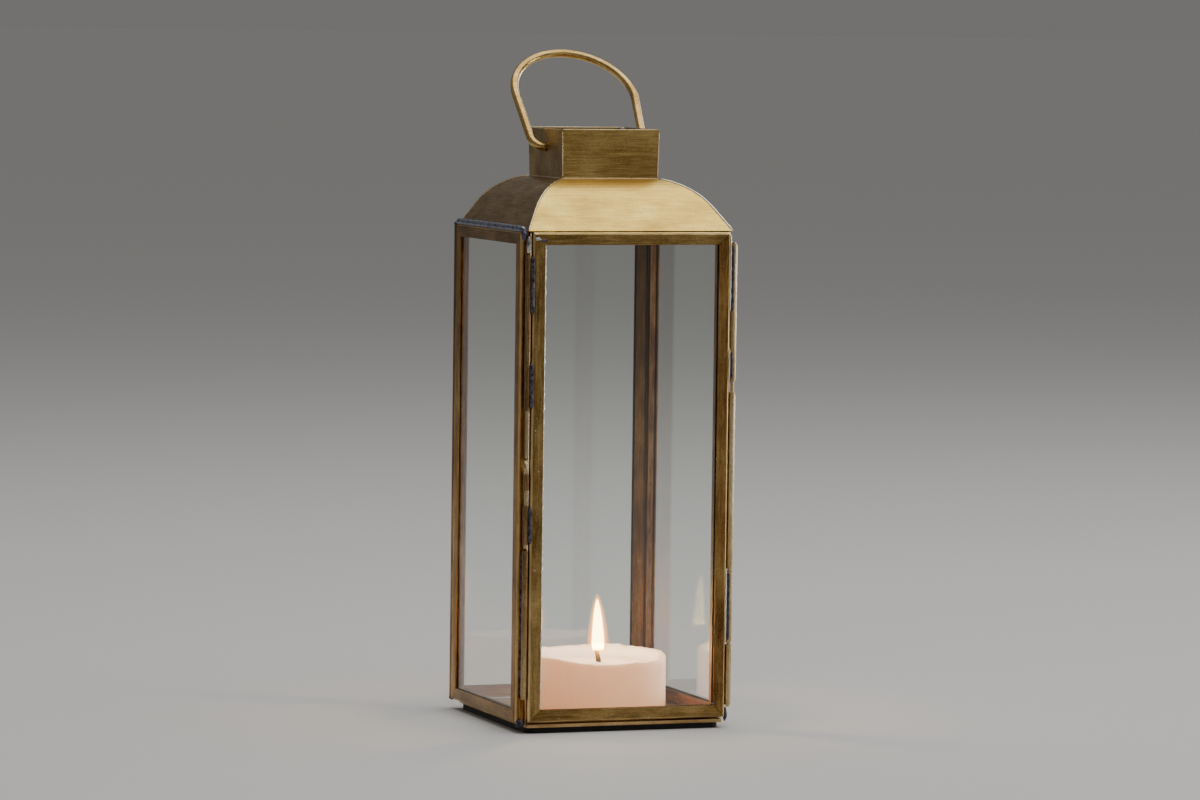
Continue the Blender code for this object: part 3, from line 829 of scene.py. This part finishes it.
def line_channels(mat):
    """Tarnished putty that fills the channels of the side panels behind their panes."""
    depth = CHANNEL_FACE - PANE_INSET - 0.8   # how far it reaches in from the pane's edge
    for side in ("left", "right"):
        low, high = (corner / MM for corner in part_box(f"{side}_pane"))
        sign = -1 if side == "left" else 1
        near = (low.x if sign > 0 else high.x) - sign * 0.1
        far = sign * (CASE_HALF - SIDE_DEPTH + 0.8)
        strips = (("front", low.y, low.y + depth, low.z, high.z),
                  ("back", high.y - depth, high.y, low.z, high.z),
                  ("low", low.y + depth, high.y - depth, low.z, low.z + depth),
                  ("top", low.y + depth, high.y - depth, high.z - depth, high.z))
        for name, start, end, foot, head in strips:
            outline = ((min(near, far), start), (max(near, far), start), (max(near, far), end),
                       (min(near, far), end))
            vertices = [(x, y, z) for z in (foot, head) for x, y in outline]
            make_piece(f"putty_{side}_{name}", vertices, stack_faces(2, 4), mat, "case",
                       smooth=False)


# ---------------------------------------------------------------- finishes

def finish_nodes(finishes):
    """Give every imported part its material, smooth its folds and soften its sheet edges."""
    for name, obj in frame["nodes"].items():
        obj.data.materials.clear()
        if name.endswith("pane"):
            obj.data.materials.append(finishes["glass"])
            obj.visible_shadow = False
            continue
        finish = next(finish for start, finish in FINISH_ROWS if name.startswith(start))
        obj.data.materials.append(finishes[finish])
        obj.data.polygons.foreach_set("use_smooth", [True] * len(obj.data.polygons))
        obj.data.set_sharp_from_angle(angle=radians(30))
        edge = obj.modifiers.new("soft_edges", "BEVEL")
        edge.width = (CHIMNEY_EDGE if name == "chimney" else SHEET_EDGE) * MM
        edge.segments = 2
        edge.limit_method = "ANGLE"
        edge.angle_limit = radians(50)


def make_finishes():
    """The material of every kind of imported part, by the names in FINISH_ROWS."""
    golden = ((0.08, 0.044, 0.012), (0.245, 0.148, 0.042), (0.49, 0.335, 0.13))
    coppery = ((0.07, 0.028, 0.006), (0.23, 0.12, 0.028), (0.46, 0.27, 0.068))
    ruddy = ((0.11, 0.038, 0.008), (0.33, 0.155, 0.034), (0.54, 0.32, 0.085))
    brown = ((0.074, 0.03, 0.008), (0.22, 0.115, 0.032), (0.44, 0.265, 0.085))
    back_post_tones = ((0.06, 0.024, 0.007), (0.22, 0.095, 0.024), (0.46, 0.24, 0.08))
    # bright fold tones: painted highlights along the folds, partly polish
    gilt_fold_highlight = (0.88, 0.66, 0.32)
    tawny_fold_highlight = (0.74, 0.5, 0.22)
    fine = (0.26, 0.4)
    return {
        "door_upright": brass("door_brass_upright", *golden, (2,), fine, worn_fold_highlight=gilt_fold_highlight),
        "door_across": brass("door_brass_across", *golden, (0,), fine, worn_fold_highlight=gilt_fold_highlight),
        "upright": brass("frame_brass_upright", *ruddy, (2,), fine, worn_fold_highlight=tawny_fold_highlight),
        "door_hinge": brass("door_brass_hinge", *brown, (2,), fine, worn_fold_highlight=gilt_fold_highlight),
        # back posts: painted shade darkens them toward the top
        "back_upright": brass("back_brass_upright", *back_post_tones, (2,), fine, worn_fold_highlight=tawny_fold_highlight,
                              painted_top_shade=(0.1, 0.25)),
        "across": brass("frame_brass_across", *coppery, (0,), fine, worn_fold_highlight=tawny_fold_highlight),
        "deep": brass("frame_brass_deep", *coppery, (1,), fine, worn_fold_highlight=tawny_fold_highlight),
        # painted light: the front and back roof sides get a bright lit copy of the roof brass, the
        # left and right sides a dark shaded copy
        "roof_lit_across": brass("roof_brass_lit", (0.58, 0.36, 0.085), (0.88, 0.59, 0.135),
                             (1.0, 0.78, 0.22), (0,), (0.36, 0.46), (0.3, 0.17, 0.06), 0.6),
        "roof_shaded_deep": brass("roof_brass_shaded", (0.13, 0.075, 0.025), (0.3, 0.18, 0.07),
                           (0.5, 0.33, 0.14), (1,), (0.3, 0.42), stained=0.35),
        "collar": brass("collar_brass", (0.15, 0.08, 0.02), (0.34, 0.22, 0.065),
                        (0.54, 0.38, 0.13), (0,), (0.3, 0.42)),
        "fitting": brass("fitting_brass", (0.095, 0.045, 0.018), (0.27, 0.155, 0.056),
                         (0.6, 0.43, 0.22), (2,), (0.2, 0.36)),
        "hinge": brass("hinge_brass", (0.26, 0.16, 0.065), (0.6, 0.43, 0.2), (0.88, 0.74, 0.46),
                       (2,), (0.2, 0.36)),
        # painted highlight: the bolt gets a brighter brass than the other fittings
        "bolt": brass("bolt_painted_highlight_brass", (0.3, 0.2, 0.1), (0.5, 0.38, 0.22), (0.75, 0.62, 0.42), (2,),
                      (0.2, 0.32), stained=0.3),
        "floor": brass("floor_brass", (0.26, 0.15, 0.06), (0.5, 0.32, 0.13), (0.7, 0.5, 0.24),
                       (0,), (0.35, 0.5)),
        "glass": glass(),
        "felt": felt(),
    }


# ---------------------------------------------------------------- studio

def make_camera():
    """Camera at the viewing angle of the reference view."""
    data = bpy.data.cameras.new("camera")
    data.lens = CAMERA_LENS
    data.sensor_width = 36.0
    data.clip_end = 200.0
    obj = bpy.data.objects.new("camera", data)
    bpy.context.scene.collection.objects.link(obj)
    azimuth = radians(CAMERA_AZIMUTH)
    pitch = radians(CAMERA_PITCH)
    roll = radians(CAMERA_ROLL)
    forward = Vector((sin(azimuth) * cos(pitch), cos(azimuth) * cos(pitch), -sin(pitch)))
    level = Vector((cos(azimuth), -sin(azimuth), 0))
    upright = level.cross(forward)
    right = level * cos(roll) + upright * sin(roll)
    up = upright * cos(roll) - level * sin(roll)
    turn = Matrix((right, up, -forward)).transposed().to_4x4()
    obj.matrix_world = Matrix.Translation(CAMERA_PLACE) @ turn
    bpy.context.scene.camera = obj


def make_area_light(name, place, target, size, power):
    """A rectangular soft light aimed at a point, hidden from the camera."""
    data = bpy.data.lights.new(name, "AREA")
    data.shape = "RECTANGLE"
    data.size, data.size_y = size
    data.energy = power
    obj = bpy.data.objects.new(name, data)
    bpy.context.scene.collection.objects.link(obj)
    obj.visible_camera = False
    obj.location = place
    obj.rotation_mode = "QUATERNION"
    direction = Vector(target) - Vector(place)
    obj.rotation_quaternion = direction.to_track_quat("-Z", "Y")


def make_world():
    """Dim grey surroundings, a little brighter overhead."""
    world = bpy.data.worlds.new("studio")
    bpy.context.scene.world = world
    world.use_nodes = True
    tree = world.node_tree
    coords = tree.nodes.new("ShaderNodeTexCoord")
    split = tree.nodes.new("ShaderNodeSeparateXYZ")
    shade = tree.nodes.new("ShaderNodeValToRGB")
    tree.links.new(coords.outputs["Generated"], split.inputs["Vector"])
    tree.links.new(split.outputs["Z"], shade.inputs["Fac"])
    tree.links.new(shade.outputs["Color"], tree.nodes["Background"].inputs["Color"])
    low, high = shade.color_ramp.elements
    low.color = (0.17, 0.166, 0.16, 1)
    high.color = (0.3, 0.3, 0.3, 1)
    tree.nodes["Background"].inputs["Strength"].default_value = 1.0


def make_floor():
    """Plain pale floor."""
    mat, add, link, shader = start_material("studio_floor")
    shader.inputs["Base Color"].default_value = (0.655, 0.64, 0.617, 1.0)
    shader.inputs["Roughness"].default_value = 0.85
    mesh = bpy.data.meshes.new("studio_floor")
    reach = 80.0
    corners = [(-reach, -reach, 0), (reach, -reach, 0), (reach, reach, 0), (-reach, reach, 0)]
    mesh.from_pydata(corners, [], [(0, 1, 2, 3)])
    mesh.materials.append(mat)
    floor = bpy.data.objects.new("studio_floor", mesh)
    bpy.context.scene.collection.objects.link(floor)


def keep_off_floor(*names):
    """Let these lights reach the lantern alone, so that they leave no edges on the floor.
    Runs once every piece has been made."""
    lit = bpy.data.collections.new("lit_pieces")
    for obj in bpy.context.scene.objects:
        if obj.type == "MESH" and obj.name != "studio_floor":
            lit.objects.link(obj)
    for name in names:
        bpy.data.objects[name].light_linking.receiver_collection = lit


def make_lights():
    """A wide softbox overhead, a weak one in front and three on the right."""
    make_area_light("overhead", (0.75, -0.25, 1.95), (0.75, -0.25, 0.0), (2.8, 3.0), 46.0)
    make_area_light("front", (1.3, -3.6, 0.95), (0, 0, 0.2), (2.2, 1.6), 5.0)
    make_area_light("strip", (3.0, 1.7, 0.9), (0, 0, 0.1), (1.7, 1.7), 30.0)
    make_area_light("kicker", (1.25, 0.8, 0.22), (0.05, -0.05, 0.19), (0.45, 0.42), 2.5)
    make_area_light("side", (2.4, -0.75, 0.36), (0, 0, 0.2), (0.9, 0.65), 9.0)


def make_candle_light(centre):
    """The light that the flame throws, from a small lamp inside it."""
    painted_glow = bpy.data.lights.new("candle_glow", "POINT")
    painted_glow.energy = 0.4
    painted_glow.color = (1.0, 0.55, 0.22)
    painted_glow.shadow_soft_size = 0.004
    lamp = bpy.data.objects.new("candle_glow", painted_glow)
    bpy.context.scene.collection.objects.link(lamp)
    lamp.visible_camera = False
    lamp.visible_glossy = False
    lamp.visible_transmission = False
    lamp.location = Vector((*centre, FLAME_BASE + LAMP_HEIGHT)) * MM


def add_trims():
    """Every seam, lump and painted highlight line, and the putty in the side channels."""
    bright = solder("bright_solder", (0.62, 0.62, 0.6), (0.12, 0.11, 0.12))
    dull = solder("dull_solder", (0.13, 0.125, 0.15), (0.02, 0.018, 0.026))
    # painted highlight: near-white brass for bright lines on the hinge tubes, the door's edges, the
    # front right hip and along the glass
    bright_highlight = brass("painted_highlight_edge", (0.7, 0.6, 0.44), (0.92, 0.84, 0.68), (0.98, 0.94, 0.84),
                  (0, 1, 2), (0.16, 0.26), stained=0.2)
    # brass for the seams, and for painted highlight lines on the chimney's rim and corners
    trim_and_highlight = brass("seam_and_highlight_trim", (0.4, 0.28, 0.13), (0.7, 0.55, 0.32), (0.9, 0.78, 0.55),
                 (0, 1, 2), (0.2, 0.3), stained=0.2)
    band = solder("band_solder", (0.27, 0.29, 0.37), (0.05, 0.05, 0.08))
    putty = brass("tarnished_putty", (0.05, 0.018, 0.008), (0.2, 0.08, 0.035), (0.5, 0.3, 0.17),
                  (2,), (0.3, 0.45))
    # painted highlight along the door's top
    top_edge_highlight = brass("painted_top_highlight", (0.5, 0.33, 0.1), (0.74, 0.52, 0.19), (0.84, 0.63, 0.28),
                   (0,), (0.24, 0.34), stained=0.2)
    solder_hips(trim_and_highlight, bright_highlight)
    solder_chimney_foot(trim_and_highlight)
    solder_eaves(band)
    paint_chimney_highlights(trim_and_highlight)
    line_channels(putty)
    solder_corners(bright, dull)
    solder_door(dull)
    spot_door(bright, dull, bright_highlight)
    paint_door_highlights(bright, bright_highlight, top_edge_highlight)
    paint_hinge_highlights(bright_highlight)
    solder_tubes(dull)


def build():
    """Dress the lantern and set the studio."""
    centre = candle_centre()
    make_camera()
    make_world()
    make_floor()
    make_lights()
    make_candle_light(centre)
    finish_nodes(make_finishes())
    make_candle(wax((centre[0] * MM, centre[1] * MM)), centre)
    make_wick(burnt_wick(), centre)
    make_flame(centre)
    make_handle(brass("bail_brass", (0.3, 0.17, 0.045), (0.58, 0.38, 0.13), (0.86, 0.61, 0.25),
                      (0,), (0.18, 0.28), stained=0.2))
    add_trims()
    keep_off_floor("front", "strip", "kicker", "side")


build()
